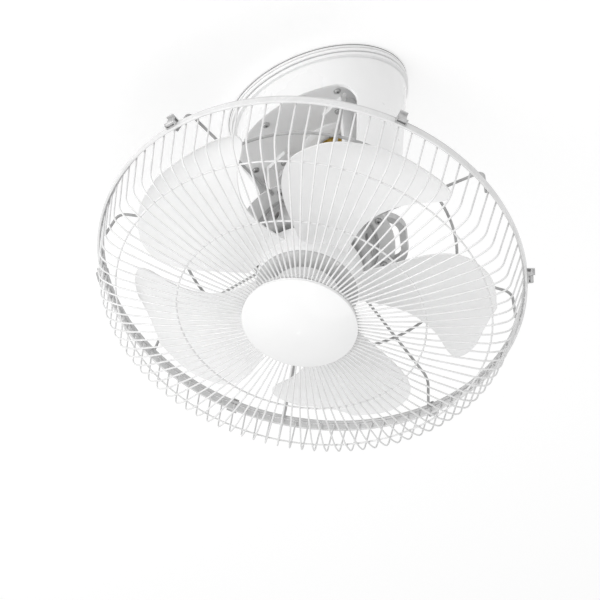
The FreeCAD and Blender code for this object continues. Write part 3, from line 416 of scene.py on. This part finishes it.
# Driver recesses on the screw heads, as thin dark inlays: painted shade for the hollow of each
# recess
SCREW_WELD, HEAD_FACE_DEPTH = 0.00001, 0.00002
CROSS_CORE, CROSS_ARM, ARM_TAPER, CROSS_FLATNESS = 0.0009, 0.0013, 0.7, 0.14


def screw_ends(node, outward):
    """The middle of each screw head's outer face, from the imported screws."""
    shape = bmesh.new()
    shape.from_mesh(nodes[node].data)
    bmesh.ops.remove_doubles(shape, verts=shape.verts[:], dist=SCREW_WELD)
    ends, seen = [], set()
    for first in shape.verts:
        if first in seen:
            continue
        seen.add(first)
        island, reach = [], [first]
        while reach:
            corner = reach.pop()
            island.append(corner)
            for edge in corner.link_edges:
                other = edge.other_vert(corner)
                if other not in seen:
                    seen.add(other)
                    reach.append(other)
        far = max(corner.co.dot(outward) for corner in island) - HEAD_FACE_DEPTH
        face = [corner.co for corner in island if corner.co.dot(outward) > far]
        ends.append(sum(face, Vector()) / len(face))
    shape.free()
    return ends


def driver_cross():
    """One cross-shaped recess: a square core with four tapered arms, flattened."""
    shape = bmesh.new()
    bmesh.ops.create_cube(shape, size=CROSS_CORE)
    sides = [face for face in shape.faces if abs(face.normal.z) < 0.5]
    for face in bmesh.ops.extrude_discrete_faces(shape, faces=sides)["faces"]:
        bmesh.ops.translate(shape, verts=face.verts[:], vec=face.normal * CROSS_ARM)
        bmesh.ops.scale(shape, verts=face.verts[:], vec=(ARM_TAPER, ARM_TAPER, 1.0),
                        space=Matrix.Translation(-face.calc_center_median()))
    bmesh.ops.scale(shape, vec=(1.0, 1.0, CROSS_FLATNESS), verts=shape.verts[:])
    bmesh.ops.remove_doubles(shape, verts=shape.verts[:], dist=SAME_POINT)
    data = bpy.data.meshes.new("driver_cross")
    shape.to_mesh(data)
    shape.free()
    return data


def cross_recesses(name, node, body, outward, turn):
    """Driver recesses, one on each screw head of a node."""
    shape = bmesh.new()
    aim = outward.to_track_quat("Z", "Y").to_matrix().to_4x4()
    cross = driver_cross()
    for index, end in enumerate(screw_ends(node, outward)):
        before = len(shape.verts)
        shape.from_mesh(cross)
        place = Matrix.Translation(end) @ aim @ Matrix.Rotation(turn * (index + 1), 4, "Z")
        bmesh.ops.transform(shape, matrix=place, verts=shape.verts[before:])
    bpy.data.meshes.remove(cross)
    keep_piece(name, shape, body, recess_shade_paint)


cross_recesses("web_screw_recesses", "web_screws", "hood_carriage", DOWN, turn=0.7)
cross_recesses("guard_screw_recesses", "guard_screws", "head", -head_axis, turn=1.1)

# Ceiling board, seen only from below, with a hole that lets light on to the flange's top
BOARD_HOLE_R, BOARD_SPREAD, BOARD_SIDES, BOARD_GAP = 0.098, 143.0, 64, 0.0002
BOARD_GLOW = 0.26
board = bmesh.new()
bmesh.ops.create_circle(board, segments=BOARD_SIDES, radius=BOARD_HOLE_R)
grown = bmesh.ops.extrude_edge_only(board, edges=board.edges[:])["geom"]
outer_edge = [item for item in grown if isinstance(item, bmesh.types.BMVert)]
bmesh.ops.scale(board, vec=(BOARD_SPREAD, BOARD_SPREAD, 1.0), verts=outer_edge)
bmesh.ops.recalc_face_normals(board, faces=board.faces[:])
board.normal_update()
if any(face.normal.z > 0 for face in board.faces):
    bmesh.ops.reverse_faces(board, faces=board.faces[:])
ceiling_data = bpy.data.meshes.new("ceiling_board")
board.to_mesh(ceiling_data)
board.free()
ceiling_board = bpy.data.objects.new("ceiling_board", ceiling_data)
ceiling_board.location.z = cad_box[1][2] + BOARD_GAP
bpy.context.scene.collection.objects.link(ceiling_board)


def either_ray(tree, links, first, second):
    """One for rays of either kind, nought for the rest."""
    path = tree.new("ShaderNodeLightPath")
    return combined(tree, links, "MAXIMUM", path.outputs[first], path.outputs[second])


# Its paint glows a little for the camera and in reflections, and is clear from above
ceiling_paint = bpy.data.materials.new("ceiling_paint")
ceiling_paint.use_nodes = True
tree, links = ceiling_paint.node_tree.nodes, ceiling_paint.node_tree.links
paint = tree["Principled BSDF"]
paint.inputs["Base Color"].default_value = colour(0.95)
paint.inputs["Roughness"].default_value = 0.9
paint.inputs["Specular IOR Level"].default_value = 0.1
glow = tree.new("ShaderNodeEmission")
glow.inputs["Color"].default_value = (1, 1, 1, 1)
in_view = either_ray(tree, links, "Is Camera Ray", "Is Glossy Ray")
links.new(combined(tree, links, "MULTIPLY", in_view, BOARD_GLOW), glow.inputs["Strength"])
added = tree.new("ShaderNodeAddShader")
links.new(paint.outputs["BSDF"], added.inputs[0])
links.new(glow.outputs["Emission"], added.inputs[1])
through = tree.new("ShaderNodeMixShader")
links.new(tree.new("ShaderNodeNewGeometry").outputs["Backfacing"], through.inputs["Fac"])
links.new(added.outputs["Shader"], through.inputs[1])
links.new(tree.new("ShaderNodeBsdfTransparent").outputs["BSDF"], through.inputs[2])
links.new(through.outputs["Shader"], tree["Material Output"].inputs["Surface"])
ceiling_data.materials.append(ceiling_paint)

# Light: a white room, a little dimmer as a lamp than it looks to the camera
SKY_LIGHT, SKY_SEEN = 0.78, 1.0
world = bpy.data.worlds.new("studio")
bpy.context.scene.world = world
world.use_nodes = True
sky_tree, sky_links = world.node_tree.nodes, world.node_tree.links
sky = sky_tree["Background"]
sky.inputs["Color"].default_value = (1.0, 1.0, 1.0, 1)
white_rays = either_ray(sky_tree, sky_links, "Is Camera Ray", "Is Transmission Ray")
sky_links.new(ranged(sky_tree, sky_links, white_rays, 0.0, 1.0, SKY_LIGHT, SKY_SEEN),
              sky.inputs["Strength"])


def soft_lamp(name, place, aim, size, power):
    lamp = bpy.data.lights.new(name, "AREA")
    lamp.shape = "DISK"
    lamp.size = size
    lamp.energy = power
    stand = bpy.data.objects.new(name, lamp)
    stand.location = place
    stand.rotation_euler = (aim - Vector(place)).to_track_quat("-Z", "Y").to_euler()
    bpy.context.scene.collection.objects.link(stand)


middle = (Vector(cad_box[0]) + Vector(cad_box[1])) / 2
soft_lamp("key_softbox", (0.1, -2.0, -0.5), middle, size=1.1, power=15.0)
soft_lamp("fill_softbox", (1.9, -0.5, -0.9), middle, size=1.4, power=1.5)
soft_lamp("under_softbox", (0.2, -0.6, -2.2), middle, size=1.6, power=3.0)

# Camera at the photograph's place
CAMERA_PLACE, CAMERA_AIM, CAMERA_RIGHT = (
    (0.999, -1.237, -1.022), (-0.599, 0.662, 0.45), (0.604, 0.743, -0.289))
FOCAL_MM, SENSOR_MM, FAR_CLIP = 102.06, 36.0, 60.0
forward = Vector(CAMERA_AIM).normalized()
right = Vector(CAMERA_RIGHT)
right = (right - forward * right.dot(forward)).normalized()
upward = right.cross(forward)
lens = bpy.data.cameras.new("photo_camera")
lens.sensor_width = SENSOR_MM
lens.lens = FOCAL_MM
lens.clip_end = FAR_CLIP
camera = bpy.data.objects.new("photo_camera", lens)
camera_turn = Matrix((right, upward, -forward)).transposed().to_4x4()
camera.matrix_world = Matrix.Translation(CAMERA_PLACE) @ camera_turn
bpy.context.scene.collection.objects.link(camera)
bpy.context.scene.camera = camera
bpy.context.scene.view_settings.view_transform = "Standard"
